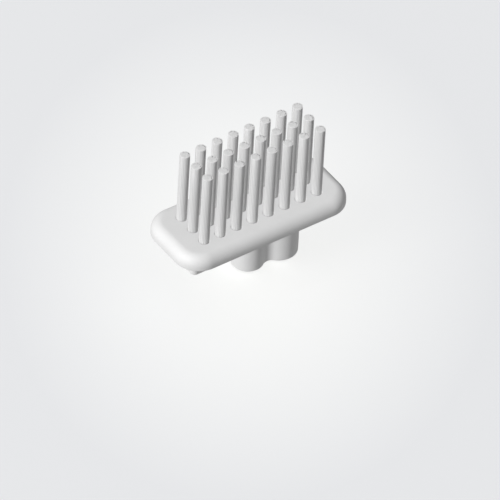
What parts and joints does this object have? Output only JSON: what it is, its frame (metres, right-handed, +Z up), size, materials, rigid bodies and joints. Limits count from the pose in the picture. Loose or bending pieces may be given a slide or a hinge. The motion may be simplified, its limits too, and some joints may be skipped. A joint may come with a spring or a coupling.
{
  "type": "toothbrush head",
  "caption": "Replaceable toothbrush head: rounded plate with upright round bristle tufts in straight rows, and a plinth and keyed figure-eight boss underneath that plug into a handle.",
  "frame": {"origin": "under the middle of the plate, in the plane of the boss's end", "axes": "+Z up along the tufts, +X along the rows from the tip towards the handle, +Y across the head"},
  "size_m": [0.027, 0.012, 0.0218],
  "materials": {
    "moulded_plastic": "satin",
    "nylon_bristle": "satin",
    "staple_brass": "satin"
  },
  "bodies": {
    "root": {"head_body": "moulded_plastic", "tuft_front_1": "nylon_bristle", "tuft_front_2": "nylon_bristle", "tuft_front_3": "nylon_bristle", "tuft_front_4": "nylon_bristle", "tuft_front_5": "nylon_bristle", "tuft_front_6": "nylon_bristle", "tuft_front_7": "nylon_bristle", "tuft_front_8": "nylon_bristle", "tuft_middle_1": "nylon_bristle", "tuft_middle_2": "nylon_bristle", "tuft_middle_3": "nylon_bristle", "tuft_middle_4": "nylon_bristle", "tuft_middle_5": "nylon_bristle", "tuft_middle_6": "nylon_bristle", "tuft_middle_7": "nylon_bristle", "tuft_middle_8": "nylon_bristle", "tuft_back_1": "nylon_bristle", "tuft_back_2": "nylon_bristle", "tuft_back_3": "nylon_bristle", "tuft_back_4": "nylon_bristle", "tuft_back_5": "nylon_bristle", "tuft_back_6": "nylon_bristle", "tuft_back_7": "nylon_bristle", "tuft_back_8": "nylon_bristle", "tuft_anchors": "staple_brass"}
  },
  "joints": []
}
